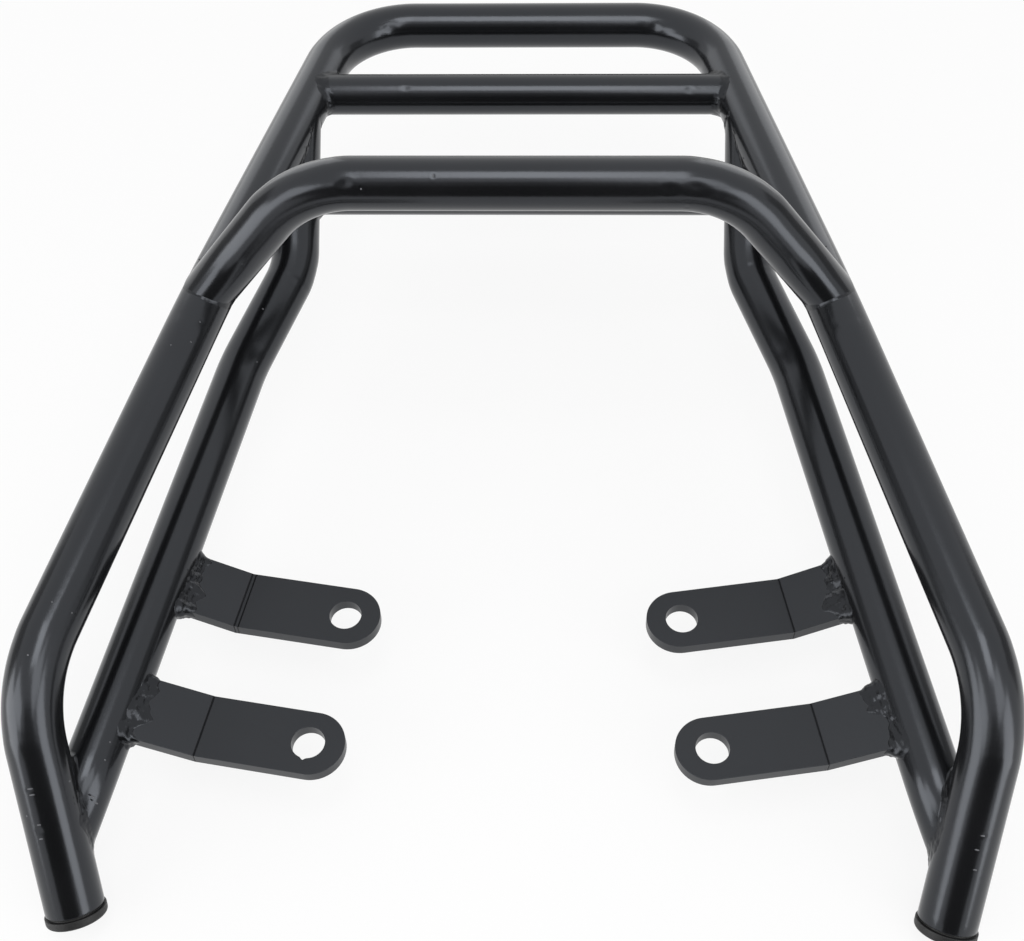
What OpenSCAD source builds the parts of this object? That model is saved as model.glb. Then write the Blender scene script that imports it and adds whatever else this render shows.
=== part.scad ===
// Motorcycle luggage rack welded from bent steel tube. One long tube makes both side rails,
// the rear bar and the two front feet. An arched hoop stands on the rails, two stays run under
// them to the feet, and four flat tabs with one hole each bolt the rack to the machine.
// Every route is a list of corners that the tube's centre line would reach if it were not bent
// with a radius. Millimetres, +Z up, +Y to the rear. The origin is midway between the two rear
// tab holes, on the underside of the tabs, which is the face that sits on the machine.

/* [Tube] */
// Outside diameter of the rails, the hoop and the stays
tube_d = 25; // [20:0.5:30]
// Outside diameter of the two straight crossbars
crossbar_d = 22; // [16:0.5:24]
// Wall of every tube
tube_wall = 2; // [1.2:0.1:3]
// Amount by which the tube draws in, outside and inside its wall, where it is bent
bend_draw = 0.02; // [0.01:0.01:0.05]

/* [Rails] */
// Height of the level rear part of the rails above the underside of the tabs
platform_z = 81; // [60:1:110]
// Distance from the rear holes back to the slight bend in the rails
kink_y = 136; // [110:1:170]
// Distance from the centre line out to the rail at that bend
kink_x = 152; // [130:1:180]
// Length of the level part, from that bend to the rear bar
platform_length = 226; // [180:1:280]
// Half the rear bar, out to the corner
rear_x = 105; // [85:1:130]
// Bend radius of the two rear corners
rear_bend_r = 50; // [40:1:65]
// Bend radius of the slight bend, long enough for the hoop's whole foot to stand on it
kink_bend_r = 400; // [350:10:500]
// Distance from the slight bend forward to the front bend
rail_reach = 201; // [160:1:240]
// Drop of the rails over that distance
rail_drop = 30; // [10:1:50]
// Distance from the centre line out to the front bend
front_x = 203; // [180:1:235]
// Bend radius of the front bends
front_bend_r = 65; // [50:1:80]

/* [Feet] */
// Distance that each foot reaches forward of the front bend
foot_reach = 66; // [50:1:90]
// Distance that each foot reaches down from the front bend
foot_drop = 73; // [55:1:95]
// Distance that each foot leans inward
foot_lean = 17; // [0:1:30]

/* [Hoop] */
// Height of the hoop's top bar above the rails, centre to centre
hoop_rise = 58; // [35:1:90]
// Half the hoop's top bar, out to the corner
hoop_x = 101; // [80:1:120]
// Distance that the hoop stands behind the slight bend, where it meets the rails
hoop_foot_y = 6; // [0:1:30]
// Distance that the top bar stands behind the hoop's own feet
hoop_lean = 9; // [-10:1:30]
// Bend radius of the hoop's corners
hoop_bend_r = 54; // [40:1:60]

/* [Stays] */
// Distance along the foot from the front bend to the stay
stay_foot_s = 64; // [50:1:75]
// Distance that the stay's centre line passes inside the foot's
stay_inset = 5; // [0:0.5:8]
// Distance from the rear holes back to the stay's first bend, which turns it inward
stay_in_y = 136; // [120:1:150]
// Distance from the centre line out to the first bend
stay_in_x = 143; // [138:1:150]
// Height of the first bend above the underside of the tabs
stay_in_z = 30; // [24:1:38]
// Bend radius of the first bend
stay_in_r = 80; // [50:5:120]
// Distance from the rear holes back to the stay's second bend, which turns it up to the rail
stay_up_y = 194; // [185:1:205]
// Distance from the centre line out to the second bend
stay_up_x = 121; // [114:1:130]
// Height of the second bend above the underside of the tabs
stay_up_z = 44; // [38:1:50]
// Bend radius of the second bend
stay_up_r = 48; // [40:1:60]
// Distance from the slight bend back to where the stay meets the rail
stay_top_y = 136; // [125:1:145]

/* [Crossbars] */
// Distance from the slight bend back to the rear crossbar
rear_crossbar_y = 160; // [145:1:170]
// Share of the stay's upper part at which the lower crossbar sits
lower_crossbar_share = 0.5; // [0.4:0.01:0.6]

/* [Tabs] */
// Width of the tabs
tab_w = 30; // [24:1:36]
// Thickness of the tabs
tab_t = 6; // [4:0.5:8]
// Diameter of the hole in each tab
tab_hole_d = 15; // [8:0.5:18]
// Metal between the hole's centre and the tab's end
tab_end = 16.5; // [15:0.5:22]
// Distance from the centre line out to a rear hole
rear_hole_x = 79; // [70:1:90]
// Distance from the centre line out to a front hole
front_hole_x = 89; // [80:1:95]
// Distance from the rear holes forward to the front holes
hole_pitch = 66; // [55:1:75]
// Distance from a rear hole out to the bend in its tab
rear_tab_flat = 50; // [40:1:55]
// Distance from a front hole out to the bend in its tab
front_tab_flat = 48; // [40:1:52]
// Angle at which the tabs sweep back toward the stays
tab_sweep = 9; // [0:1:14]
// Height of the front tabs' roots above the stay's centre line
front_root_lift = 5; // [0:0.5:7]

/* [End plugs] */
// Amount by which a plug's flange stands out past the tube
plug_lip = 0.6; // [0:0.1:1.5]
// Thickness of a plug's flange
plug_flange_t = 4; // [2.5:0.5:6]
// Rounding of the flange's outer edge
plug_round = 1.5; // [0.5:0.1:2]
// Height of the narrow neck between the tube's end and the flange
plug_neck_t = 1; // [0.5:0.1:2]
// Length of the stem inside the tube
plug_stem = 16; // [10:1:25]
// Clearance between the stem's ribs and the bore
plug_clearance = 0.15; // [0.05:0.05:0.4]
// Depth of the grooves between the stem's ribs
plug_rib_depth = 1.2; // [0.6:0.1:2]

/* [Welds] */
// Height of the weld beads up the tube that ends at the joint
bead = 3.2; // [2:0.1:4.5]
// Height of the weld beads on the tube that runs past the joint
carrier_bead = 2.4; // [1.5:0.1:4]
// Clearance between a bead and the tube that ends in it, which keeps curved faces apart
bead_clearance = 0.1; // [0.05:0.05:0.2]
// Height above the rail's centre line at which the hoop's beads stop on its sides
bead_start = 4; // [3:0.5:6]
// Gap left for fitting between a tube's shaped end and the tube that it sits on
cope_gap = 0.2; // [0.1:0.05:0.3]

/* [Hidden] */
$fn = 64;
// Facets round a tube's section, and round a full turn of its bends
section_fn = 64;
bend_fn = 360;

LEFT = -1;
RIGHT = 1;
STEEL = [0.09, 0.09, 0.1];
WELD = [0.12, 0.12, 0.13];
PLASTIC = [0.2, 0.2, 0.2];

tube_r = tube_d / 2;
bore_r = tube_r - tube_wall;
crossbar_r = crossbar_d / 2;
crossbar_bore_r = crossbar_r - tube_wall;
// Cutters reach this far past what they cut
over = 1;
// Straight lengths reach this far into the bends beside them
lap = 0.2;
rear_y = kink_y + platform_length;

// Corners on the right-hand side; mirror_to gives either side
front_bend = [front_x, kink_y - rail_reach, platform_z - rail_drop];
foot_end = front_bend + [-foot_lean, -foot_reach, -foot_drop];
kink = [kink_x, kink_y, platform_z];
rear_corner = [rear_x, rear_y, platform_z];
rail_route = [foot_end, front_bend, kink, rear_corner];
rail_radii = [front_bend_r, kink_bend_r, rear_bend_r];

hoop_foot = slight_bend_at(hoop_foot_y);
hoop_corner = [hoop_x, kink_y + hoop_foot_y + hoop_lean, platform_z + hoop_rise];

stay_foot = front_bend + stay_foot_s * unit(foot_end - front_bend) + [-stay_inset, 0, 0];
stay_in = [stay_in_x, stay_in_y, stay_in_z];
stay_up = [stay_up_x, stay_up_y, stay_up_z];
stay_top = rail_at(stay_top_y);

rear_crossbar_end = rail_at(rear_crossbar_y);
lower_crossbar_end = stay_up + lower_crossbar_share * (stay_top - stay_up);

sweep_dir = [cos(tab_sweep), sin(tab_sweep), 0];
tab_mid = [0, 0, tab_t / 2];
rear_tab_bend = [rear_hole_x, 0, 0] + rear_tab_flat * sweep_dir + tab_mid;
front_tab_bend = [front_hole_x, -hole_pitch, 0] + front_tab_flat * sweep_dir + tab_mid;

// The point on the level part of the rail, at a distance behind the slight bend
function rail_at(y) = kink + (rear_corner - kink) * y / platform_length;
// The point on the curve of the slight bend, at a distance behind its corner
function slight_bend_at(y) =
    let (level = unit(rear_corner - kink), front = unit(front_bend - kink))
    let (inward = unit(front - (front * level) * level))
    let (reach = kink_bend_r * tan(half_turn(front_bend, kink, rear_corner)) - y)
    kink + y * level + (kink_bend_r - sqrt(kink_bend_r * kink_bend_r - reach * reach)) * inward;
function unit(v) = v / norm(v);
function mirror_to(side, p) = [side * p[0], p[1], p[2]];
function route_to(side, route) = [for (p = route) mirror_to(side, p)];
function backward(list) = [for (i = [len(list) - 1 : -1 : 0]) list[i]];
// Half the turn at corner b of a route through a, b and c
function half_turn(a, b, c) = 90 - acos(unit(a - b) * unit(c - b)) / 2;
// Distance from a corner to where its bend begins
function tangent(points, radii, i) = i == 0 || i == len(points) - 1 ? 0 :
    radii[i - 1] * tan(half_turn(points[i - 1], points[i], points[i + 1]));
// The point on the stay's lower part that is level with y
function stay_at(y) = stay_foot + (stay_in - stay_foot) * (y - stay_foot[1]) / (stay_in[1] - stay_foot[1]);
// Where the line of a swept tab crosses the stay, seen from above
function tab_crossing(start) =
    let (run = stay_in - stay_foot, gap = stay_foot - start)
    let (s = (gap[0] * run[1] - gap[1] * run[0]) / (sweep_dir[0] * run[1] - sweep_dir[1] * run[0]))
    start + s * sweep_dir;
function tab_root(start, lift) =
    let (c = tab_crossing(start))
    [c[0], c[1], stay_at(c[1])[2] + lift];

// Puts children with their Z axis on the line from a to b, and their origin at a
module along(a, b) {
    z = unit(b - a);
    side = abs(z[2]) > 0.9 ? [1, 0, 0] : [0, 0, 1];
    x = unit(cross(side, z));
    y = cross(z, x);
    multmatrix([[x[0], y[0], z[0], a[0]], [x[1], y[1], z[1], a[1]], [x[2], y[2], z[2], a[2]]]) children();
}

module ring(outer, inner) {
    difference() {
        circle(r = outer, $fn = section_fn);
        if (inner > 0) circle(r = inner, $fn = section_fn);
    }
}

module straight(a, b, outer, inner) {
    along(a, b) linear_extrude(height = norm(b - a)) ring(outer, inner);
}

// The bend at corner b of a route through a, b and c
module bend(a, b, c, radius, outer, inner) {
    half = half_turn(a, b, c);
    u = unit(a - b);
    v = unit(c - b);
    n = unit(v - (v * u) * u);
    begin = b + u * radius * tan(half);
    centre = begin + n * radius;
    z = cross(-n, -u);
    multmatrix([[-n[0], -u[0], z[0], centre[0]], [-n[1], -u[1], z[1], centre[1]], [-n[2], -u[2], z[2], centre[2]]])
        rotate_extrude(angle = 2 * half, $fn = bend_fn) translate([radius, 0]) ring(outer, inner);
}

module tube_along(points, radii, outer, inner) {
    last = len(points) - 2;
    for (i = [0 : last]) {
        dir = unit(points[i + 1] - points[i]);
        begin = points[i] + dir * (tangent(points, radii, i) - (i == 0 ? 0 : lap));
        end = points[i + 1] - dir * (tangent(points, radii, i + 1) - (i == last ? 0 : lap));
        straight(begin, end, outer, inner);
    }
    for (i = [1 : 1 : last])
        bend(points[i - 1], points[i], points[i + 1], radii[i - 1],
            outer - bend_draw, inner > 0 ? inner + bend_draw : 0);
}

module rails(outer, inner) {
    right = rail_route;
    left = backward(route_to(LEFT, rail_route));
    tube_along(concat(right, left), concat(rail_radii, backward(rail_radii)), outer, inner);
}

// One side of the rails alone, for cutting what sits on it
module rail_side(side, outer) {
    tube_along(concat(route_to(side, rail_route), [mirror_to(side, [0, rear_y, platform_z])]), rail_radii, outer, 0);
}

module hoop(outer, inner) {
    right = [hoop_foot, hoop_corner];
    tube_along(concat(right, backward(route_to(LEFT, right))), [hoop_bend_r, hoop_bend_r], outer, inner);
}

// A branch tube as its bead needs it; past is how far it runs on beyond its own end
module hoop_leg(side, outer, past = 0) {
    start = hoop_foot + (bead_start - past) * unit(hoop_corner - hoop_foot);
    straight(mirror_to(side, start), mirror_to(side, hoop_corner), outer, 0);
}

module stay(side, outer, inner) {
    tube_along(route_to(side, [stay_foot, stay_in, stay_up, stay_top]), [stay_in_r, stay_up_r], outer, inner);
}

module stay_foot_part(side, outer, past = 0) {
    start = stay_foot + past * unit(stay_foot - stay_in);
    straight(mirror_to(side, start), mirror_to(side, stay_in), outer, 0);
}

module stay_top_part(side, outer, past = 0) {
    start = stay_top + past * unit(stay_top - stay_up);
    straight(mirror_to(side, start), mirror_to(side, stay_up), outer, 0);
}

module crossbar(end, outer, inner) {
    straight(mirror_to(LEFT, end), end, outer, inner);
}

module half_crossbar(side, end, outer) {
    straight(mirror_to(side, end), [0, end[1], end[2]], outer, 0);
}

module main_rail() {
    color(STEEL) rails(tube_r, bore_r);
}

module front_hoop() {
    color(STEEL) difference() {
        hoop(tube_r, bore_r);
        rail_side(LEFT, tube_r + cope_gap);
        rail_side(RIGHT, tube_r + cope_gap);
    }
}

module rear_crossbar() {
    color(STEEL) difference() {
        crossbar(rear_crossbar_end, crossbar_r, crossbar_bore_r);
        rail_side(LEFT, tube_r);
        rail_side(RIGHT, tube_r);
        stay(LEFT, tube_r, 0);
        stay(RIGHT, tube_r, 0);
    }
}

module lower_crossbar() {
    color(STEEL) difference() {
        crossbar(lower_crossbar_end, crossbar_r, crossbar_bore_r);
        stay(LEFT, tube_r, 0);
        stay(RIGHT, tube_r, 0);
    }
}

module one_stay(side) {
    color(STEEL) difference() {
        stay(side, tube_r, bore_r);
        rail_side(side, tube_r + cope_gap);
    }
}

// A tab's outline seen from above, with its hole, in the tab's own frame: the hole at the
// origin and the bend at x = flat
module tab_flat(flat, wide) {
    tip = wide / 2;
    translate([tip - tab_end, 0]) circle(r = tip);
    translate([tip - tab_end, -tip]) square([flat + tab_end - tip, wide]);
}

module tab_body(bend_at, flat, root, wide, thick) {
    run = norm([root[0] - bend_at[0], root[1] - bend_at[1]]);
    slope = atan2(root[2] - bend_at[2], run);
    translate(bend_at) rotate([0, 0, tab_sweep]) {
        translate([-flat, 0, -thick / 2]) linear_extrude(height = thick) tab_flat(flat, wide);
        rotate([90, 0, 0]) translate([0, 0, -wide / 2]) linear_extrude(height = wide)
            polygon([[-over, -thick / 2], [thick / 2 * tan(slope / 2), -thick / 2],
                [run, run * tan(slope) - thick / 2 / cos(slope)],
                [run, run * tan(slope) + thick / 2 / cos(slope)],
                [-thick / 2 * tan(slope / 2), thick / 2], [-over, thick / 2]]);
    }
}

module place_side(side) {
    if (side == RIGHT) children();
    else mirror([1, 0, 0]) children();
}

module tab(side, hole, bend_at, flat, lift) {
    color(STEEL) place_side(side) difference() {
        tab_body(bend_at, flat, tab_root(bend_at, lift), tab_w, tab_t);
        translate([hole[0], hole[1], -over]) cylinder(h = tab_t + 2 * over, d = tab_hole_d);
        stay(RIGHT, tube_r, 0);
    }
}

module front_tab(side) {
    tab(side, [front_hole_x, -hole_pitch], front_tab_bend, front_tab_flat, front_root_lift);
}

module rear_tab(side) {
    tab(side, [rear_hole_x, 0], rear_tab_bend, rear_tab_flat, 0);
}

module end_plug(side) {
    flange_r = tube_r + plug_lip;
    neck_r = tube_r - tube_wall / 2;
    rib_r = bore_r - plug_clearance;
    rib_pitch = plug_stem / 4;
    down = unit(foot_end - front_bend);
    color(PLASTIC) along(mirror_to(side, foot_end), mirror_to(side, foot_end + down)) rotate_extrude()
        polygon(concat(
            [[0, -plug_stem], [rib_r - plug_rib_depth, -plug_stem]],
            [for (i = [0 : 2], corner = [[0, 0.5], [1, 0.5], [1, 1], [0, 1]])
                [rib_r - plug_rib_depth * (1 - corner[0]), -plug_stem + rib_pitch * (i + corner[1])]],
            [[rib_r - plug_rib_depth, 0], [neck_r, 0], [neck_r, plug_neck_t], [flange_r, plug_neck_t]],
            [for (a = [0 : 15 : 90])
                [flange_r - plug_round + plug_round * cos(a),
                    plug_neck_t + plug_flange_t - plug_round + plug_round * sin(a)]],
            [[0, plug_neck_t + plug_flange_t]]));
}

// The bead where a branch meets the tube that carries it: all that lies within a bead's height
// of both, less the two themselves. The first child is the fat branch, the second the fat
// carrier, and the others are cut away.
module weld() {
    color(WELD) difference() {
        intersection() {
            children(0);
            children(1);
        }
        children([2 : 1 : $children - 1]);
    }
}

module weld_hoop(side) {
    weld() {
        hoop_leg(side, tube_r + bead);
        rail_side(side, tube_r + carrier_bead);
        hoop_leg(side, tube_r + bead_clearance, over);
        rail_side(side, tube_r);
    }
}

module weld_rear_crossbar(side) {
    weld() {
        half_crossbar(side, rear_crossbar_end, crossbar_r + bead);
        rail_side(side, tube_r + carrier_bead);
        half_crossbar(side, rear_crossbar_end, crossbar_r + bead_clearance);
        rail_side(side, tube_r);
        stay(side, tube_r, 0);
    }
}

module weld_lower_crossbar(side) {
    weld() {
        half_crossbar(side, lower_crossbar_end, crossbar_r + bead);
        stay(side, tube_r + carrier_bead, 0);
        half_crossbar(side, lower_crossbar_end, crossbar_r + bead_clearance);
        stay(side, tube_r, 0);
        rail_side(side, tube_r);
    }
}

module weld_stay_foot(side) {
    weld() {
        stay_foot_part(side, tube_r + bead);
        rail_side(side, tube_r + carrier_bead);
        stay_foot_part(side, tube_r + bead_clearance, over);
        rail_side(side, tube_r);
    }
}

module weld_stay_top(side) {
    weld() {
        stay_top_part(side, tube_r + bead);
        rail_side(side, tube_r + carrier_bead);
        stay_top_part(side, tube_r + bead_clearance, over);
        rail_side(side, tube_r);
        half_crossbar(side, rear_crossbar_end, crossbar_r + bead);
        half_crossbar(side, lower_crossbar_end, crossbar_r + bead);
    }
}

module weld_tab(side, bend_at, flat, lift) {
    root = tab_root(bend_at, lift);
    place_side(side) weld() {
        tab_body(bend_at, flat, root, tab_w + 2 * bead, tab_t + 2 * bead);
        stay(RIGHT, tube_r + carrier_bead, 0);
        tab_body(bend_at, flat, root, tab_w + 2 * bead_clearance, tab_t + 2 * bead_clearance);
        stay(RIGHT, tube_r, 0);
    }
}

module weld_front_tab(side) {
    weld_tab(side, front_tab_bend, front_tab_flat, front_root_lift);
}

module weld_rear_tab(side) {
    weld_tab(side, rear_tab_bend, rear_tab_flat, 0);
}

main_rail();
front_hoop();
rear_crossbar();
lower_crossbar();
one_stay(LEFT);  // left_stay
one_stay(RIGHT);  // right_stay
front_tab(LEFT);  // tab_left_front
rear_tab(LEFT);  // tab_left_rear
front_tab(RIGHT);  // tab_right_front
rear_tab(RIGHT);  // tab_right_rear
end_plug(LEFT);  // end_plug_left
end_plug(RIGHT);  // end_plug_right
weld_hoop(LEFT);  // weld_hoop_left
weld_hoop(RIGHT);  // weld_hoop_right
weld_rear_crossbar(LEFT);  // weld_rear_crossbar_left
weld_rear_crossbar(RIGHT);  // weld_rear_crossbar_right
weld_lower_crossbar(LEFT);  // weld_lower_crossbar_left
weld_lower_crossbar(RIGHT);  // weld_lower_crossbar_right
weld_stay_foot(LEFT);  // weld_stay_foot_left
weld_stay_foot(RIGHT);  // weld_stay_foot_right
weld_stay_top(LEFT);  // weld_stay_top_left
weld_stay_top(RIGHT);  // weld_stay_top_right
weld_front_tab(LEFT);  // weld_tab_left_front
weld_rear_tab(LEFT);  // weld_tab_left_rear
weld_front_tab(RIGHT);  // weld_tab_right_front
weld_rear_tab(RIGHT);  // weld_tab_right_rear
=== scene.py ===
import math
import random

import bmesh
import bpy
import numpy as np
from mathutils import Matrix, Vector, noise
from mathutils.bvhtree import BVHTree


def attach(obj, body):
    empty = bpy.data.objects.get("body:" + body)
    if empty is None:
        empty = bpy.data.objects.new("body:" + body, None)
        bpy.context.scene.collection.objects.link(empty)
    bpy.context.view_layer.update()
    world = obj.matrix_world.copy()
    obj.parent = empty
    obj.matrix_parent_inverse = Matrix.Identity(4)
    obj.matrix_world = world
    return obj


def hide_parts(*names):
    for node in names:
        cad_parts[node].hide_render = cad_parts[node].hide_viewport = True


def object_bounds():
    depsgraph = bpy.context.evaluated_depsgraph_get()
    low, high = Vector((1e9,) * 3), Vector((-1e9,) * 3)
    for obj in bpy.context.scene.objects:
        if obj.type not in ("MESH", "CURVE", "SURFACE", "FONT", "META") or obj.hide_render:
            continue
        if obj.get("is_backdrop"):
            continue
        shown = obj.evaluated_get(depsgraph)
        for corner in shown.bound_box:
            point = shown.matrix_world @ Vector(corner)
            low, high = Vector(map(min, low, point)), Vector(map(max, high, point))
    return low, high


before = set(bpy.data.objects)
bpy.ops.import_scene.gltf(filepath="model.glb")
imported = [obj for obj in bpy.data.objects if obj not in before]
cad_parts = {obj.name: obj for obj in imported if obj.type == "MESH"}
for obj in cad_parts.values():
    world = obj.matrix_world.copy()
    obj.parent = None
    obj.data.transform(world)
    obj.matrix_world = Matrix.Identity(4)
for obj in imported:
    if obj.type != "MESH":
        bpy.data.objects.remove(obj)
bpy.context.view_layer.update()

# A motorcycle luggage rack: bent steel tube, four flat tabs and rough weld beads under black
# powder coat, with a plastic plug in each foot. Sizes are in millimetres and become metres where
# a mesh is made. Routes repeat the part's own corners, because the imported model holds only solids.

MM = 0.001
LEFT, RIGHT = -1, 1
SIDE_NAMES = {LEFT: "left", RIGHT: "right"}

TUBE_R = 12.5
CROSSBAR_R = 11.0
TUBE_WALL = 2.0

PLATFORM_Z = 81.0
FRONT_BEND = (203.0, -65.0, 51.0)
FOOT_END = (186.0, -131.0, -22.0)
KINK = (152.0, 136.0, PLATFORM_Z)
REAR_CORNER = (105.0, 362.0, PLATFORM_Z)
FRONT_BEND_R, KINK_BEND_R, REAR_BEND_R = 65.0, 400.0, 50.0

HOOP_CORNER = (101.0, 151.0, 139.0)
HOOP_FOOT_Y = 6.0
HOOP_BEND_R = 54.0

STAY_FOOT_S, STAY_INSET = 64.0, 5.0
STAY_IN, STAY_IN_R = (143.0, 136.0, 30.0), 80.0
STAY_UP, STAY_UP_R = (121.0, 194.0, 44.0), 48.0
STAY_TOP_Y = 136.0
REAR_CROSSBAR_Y = 160.0
LOWER_CROSSBAR_SHARE = 0.5

TAB_W, TAB_T = 30.0, 6.0
TAB_SWEEP = math.radians(9.0)
REAR_HOLE, FRONT_HOLE = (79.0, 0.0), (89.0, -66.0)
REAR_TAB_FLAT, FRONT_TAB_FLAT = 50.0, 48.0
FRONT_ROOT_LIFT = 5.0

# The photograph's camera
CAMERA_PLACE = (18.1, -335.7, 547.7)
CAMERA_YAW, CAMERA_PITCH, CAMERA_ROLL = (math.radians(a) for a in (-2.8, 52.0, 1.8))
FOCAL_PX = 1350.0
PHOTO_W, PHOTO_H = 1024.0, 941.0
SENSOR_MM = 36.0

rng = random.Random(7)


def vec(*p):
    return np.array(p, float)


def unit(v):
    return v / np.linalg.norm(v)


def mirrored(side, p):
    return vec(side * p[0], p[1], p[2])


def camera_axes():
    """The camera's forward, right and down directions in the row frame."""
    cos_p = math.cos(CAMERA_PITCH)
    forward = vec(math.sin(CAMERA_YAW) * cos_p, math.cos(CAMERA_YAW) * cos_p, -math.sin(CAMERA_PITCH))
    level = vec(math.cos(CAMERA_YAW), -math.sin(CAMERA_YAW), 0)
    down = np.cross(forward, level)
    c, s = math.cos(CAMERA_ROLL), math.sin(CAMERA_ROLL)
    return forward, c * level + s * down, c * down - s * level


class Route:
    """The centre line of a bent tube: straight lengths, joined by round bends."""

    def __init__(self, corners, radii):
        # A part holds its kind, where it starts and where it ends. A line adds its first point and
        # its direction. An arc adds its centre, the ways inward and ahead at its start, and its radius.
        self.parts = []
        self.bends = []
        corners = [np.array(c, float) for c in corners]
        start = corners[0]
        length = 0.0
        for i in range(1, len(corners)):
            if i == len(corners) - 1:
                end = corners[i]
            else:
                back, on = unit(corners[i - 1] - corners[i]), unit(corners[i + 1] - corners[i])
                half = math.pi / 2 - math.acos(float(np.clip(back @ on, -1, 1))) / 2
                reach = radii[i - 1] * math.tan(half)
                end = corners[i] + back * reach
            run = np.linalg.norm(end - start)
            self.parts.append(("line", length, length + run, start, unit(end - start)))
            length += run
            if i < len(corners) - 1:
                inward = unit(on - (on @ back) * back)
                centre = end + inward * radii[i - 1]
                run = radii[i - 1] * 2 * half
                self.parts.append(("arc", length, length + run, centre, inward, -back, radii[i - 1]))
                self.bends.append((length, length + run))
                length += run
                start = corners[i] + on * reach
        self.length = length

    def at(self, s):
        """Point, direction and the way to the bend's centre, which is zero on a straight length."""
        part = next((p for p in self.parts if s <= p[2]), self.parts[-1])
        if part[0] == "line":
            return part[3] + part[4] * (s - part[1]), part[4], vec(0, 0, 0)
        _, start, _, centre, inward, ahead, radius = part
        angle = (s - start) / radius
        out = -inward * math.cos(angle) + ahead * math.sin(angle)
        return centre + out * radius, inward * math.sin(angle) + ahead * math.cos(angle), -out

    def near(self, p):
        """The nearest point of the centre line to each of many points, and how far along it is."""
        p = np.atleast_2d(p)
        best_gap, best, best_s = np.full(len(p), np.inf), np.zeros(p.shape), np.zeros(len(p))
        for part in self.parts:
            start, end, base = part[1], part[2], part[3]
            if part[0] == "line":
                s = np.clip((p - base) @ part[4], 0, end - start)
                point = base + s[:, None] * part[4]
            else:
                inward, ahead, radius = part[4:]
                angle = np.arctan2((p - base) @ ahead, (p - base) @ -inward)
                # angles behind the start wrap round to whichever end is nearer
                sweep = (end - start) / radius
                angle = np.where(angle < sweep / 2 - math.pi, sweep, np.clip(angle, 0, sweep))
                point = base + radius * (np.sin(angle)[:, None] * ahead - np.cos(angle)[:, None] * inward)
                s = radius * angle
            gap = np.linalg.norm(p - point, axis=1)
            closer = gap < best_gap
            best_gap[closer], best[closer], best_s[closer] = gap[closer], point[closer], start + s[closer]
        return best, best_s


def rail_at(y):
    """The point of the level rail on the right, at a distance behind the slight bend."""
    kink, rear = vec(*KINK), vec(*REAR_CORNER)
    return kink + (rear - kink) * y / (REAR_CORNER[1] - KINK[1])


def symmetric(half, radii):
    """A route from the corners of its right half, from the end inward, and their radii."""
    corners = [mirrored(RIGHT, p) for p in half] + [mirrored(LEFT, p) for p in reversed(half)]
    return Route(corners, radii + radii[::-1])


rail = symmetric([FOOT_END, FRONT_BEND, KINK, REAR_CORNER], [FRONT_BEND_R, KINK_BEND_R, REAR_BEND_R])
hoop_foot = rail.near(rail_at(HOOP_FOOT_Y))[0][0]
hoop = symmetric([hoop_foot, HOOP_CORNER], [HOOP_BEND_R])
foot_dir = unit(vec(*FOOT_END) - vec(*FRONT_BEND))
stay_foot = vec(*FRONT_BEND) + STAY_FOOT_S * foot_dir - vec(STAY_INSET, 0, 0)
stay_top = rail_at(STAY_TOP_Y)
stays = {
    side: Route([mirrored(side, p) for p in (stay_foot, STAY_IN, STAY_UP, stay_top)], [STAY_IN_R, STAY_UP_R])
    for side in (LEFT, RIGHT)
}
rear_bar_end = rail_at(REAR_CROSSBAR_Y)
lower_bar_end = vec(*STAY_UP) + LOWER_CROSSBAR_SHARE * (stay_top - vec(*STAY_UP))
rear_bar = Route([mirrored(LEFT, rear_bar_end), rear_bar_end], [])
lower_bar = Route([mirrored(LEFT, lower_bar_end), lower_bar_end], [])


def cad_surface():
    """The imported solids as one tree, to find where a pixel of the photograph lands on them."""
    points, faces = [], []
    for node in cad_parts.values():
        base = len(points)
        points += [v.co.copy() for v in node.data.vertices]
        faces += [[base + i for i in p.vertices] for p in node.data.polygons]
    return BVHTree.FromPolygons(points, faces)


cad_tree = cad_surface()


def seen_at(x_px, y_px):
    """The point of the rack that the photograph shows at a pixel, in millimetres, or None."""
    forward, across, down = camera_axes()
    ray = forward + (x_px - PHOTO_W / 2) / FOCAL_PX * across + (y_px - PHOTO_H / 2) / FOCAL_PX * down
    hit = cad_tree.ray_cast(Vector(vec(*CAMERA_PLACE) * MM), Vector(unit(ray)))[0]
    return None if hit is None else np.array(hit) / MM


# Dents in the tubes, where the photograph shows them: pixel, radius, depth, and how much longer
# than wide the dent is along the tube
DIMPLES = {
    "hoop_left_bend": ((344, 184), 2.4, 0.3, 1.3),
    "hoop_left_tick": ((361, 189), 1.4, 0.22, 0.6),
    "hoop_left_top": ((433, 176), 1.5, 0.16, 0.5),
    "hoop_right_bend": ((697, 187), 2.8, 0.3, 1.8),
    "hoop_right_tick": ((669, 189), 2.2, 0.2, 1.6),
    "hoop_right_low": ((687, 207), 1.2, 0.16, 1.0),
    "rear_bar_left": ((390, 28), 2.4, 0.24, 1.2),
    "rear_bar_right": ((655, 27), 2.4, 0.22, 1.2),
    "crossbar_left": ((405, 88), 1.8, 0.18, 1.0),
    "crossbar_right": ((690, 90), 1.8, 0.18, 1.0),
    "stay_left_crease": ((298, 281), 10.0, 0.14, 0.2),
    "stay_right_crease": ((752, 266), 10.0, 0.14, 0.2),
    "foot_left_dull": ((30, 791), 2.2, 0.12, 0.5),
    "foot_left_low": ((40, 832), 2.0, 0.12, 0.8),
    "foot_right_dull": ((983, 836), 2.0, 0.12, 0.5),
}

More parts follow.
